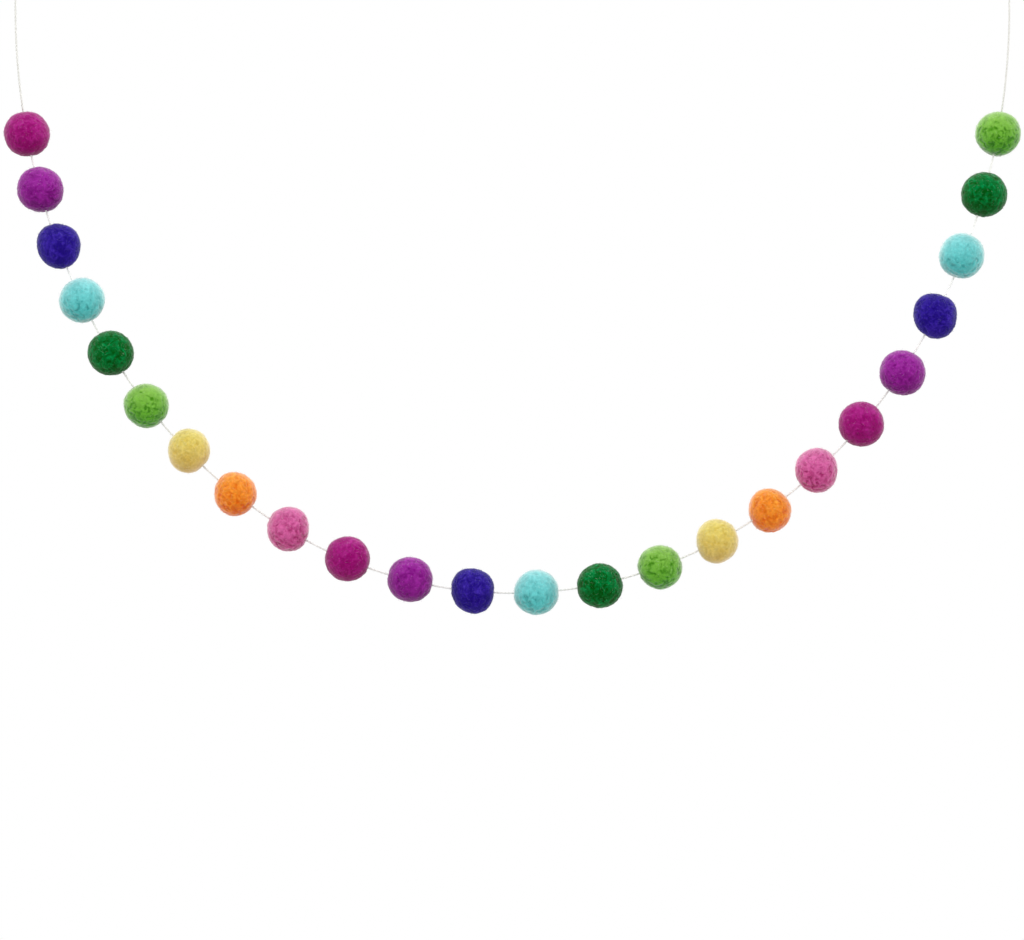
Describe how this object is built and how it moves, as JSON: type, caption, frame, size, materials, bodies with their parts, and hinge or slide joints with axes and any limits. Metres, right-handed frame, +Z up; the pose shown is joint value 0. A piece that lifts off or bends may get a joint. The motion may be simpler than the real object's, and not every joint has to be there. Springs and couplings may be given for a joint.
{
  "type": "felt ball garland",
  "caption": "Round wool felt balls in rainbow colours threaded on a cream cotton twine, hanging in one deep bend from a knotted loop at each end.",
  "frame": {"origin": "top inside of the left hanging loop, where a hook or nail carries it", "axes": "+X from the left loop to the right loop, +Y away from the viewer through the garland's thickness, +Z up"},
  "size_m": [0.5642, 0.0252, 0.3811],
  "materials": {
    "cotton_twine": "two-ply twisted cotton, cream white, matt",
    "magenta_felt": "wet-felted wool, magenta, matt with a short pale fuzz",
    "purple_felt": "wet-felted wool, purple, matt with a short pale fuzz",
    "indigo_felt": "wet-felted wool, deep indigo blue, matt with a short pale fuzz",
    "aqua_felt": "wet-felted wool, light aqua, matt with a short pale fuzz",
    "green_felt": "wet-felted wool, bottle green, matt with a short pale fuzz",
    "lime_felt": "wet-felted wool, lime green, matt with a short pale fuzz",
    "yellow_felt": "wet-felted wool, soft yellow, matt with a short pale fuzz",
    "orange_felt": "wet-felted wool, light orange, matt with a short pale fuzz",
    "pink_felt": "wet-felted wool, rose pink, matt with a short pale fuzz"
  },
  "bodies": {
    "root": {"twine": "cotton_twine", "ball_01_magenta": "magenta_felt", "ball_02_purple": "purple_felt", "ball_03_indigo": "indigo_felt", "ball_04_aqua": "aqua_felt", "ball_05_green": "green_felt", "ball_06_lime": "lime_felt", "ball_07_yellow": "yellow_felt", "ball_08_orange": "orange_felt", "ball_09_pink": "pink_felt", "ball_10_magenta": "magenta_felt", "ball_11_purple": "purple_felt", "ball_12_indigo": "indigo_felt", "ball_13_aqua": "aqua_felt", "ball_14_green": "green_felt", "ball_15_lime": "lime_felt", "ball_16_yellow": "yellow_felt", "ball_17_orange": "orange_felt", "ball_18_pink": "pink_felt", "ball_19_magenta": "magenta_felt", "ball_20_purple": "purple_felt", "ball_21_indigo": "indigo_felt", "ball_22_aqua": "aqua_felt", "ball_23_green": "green_felt", "ball_24_lime": "lime_felt"}
  },
  "joints": []
}
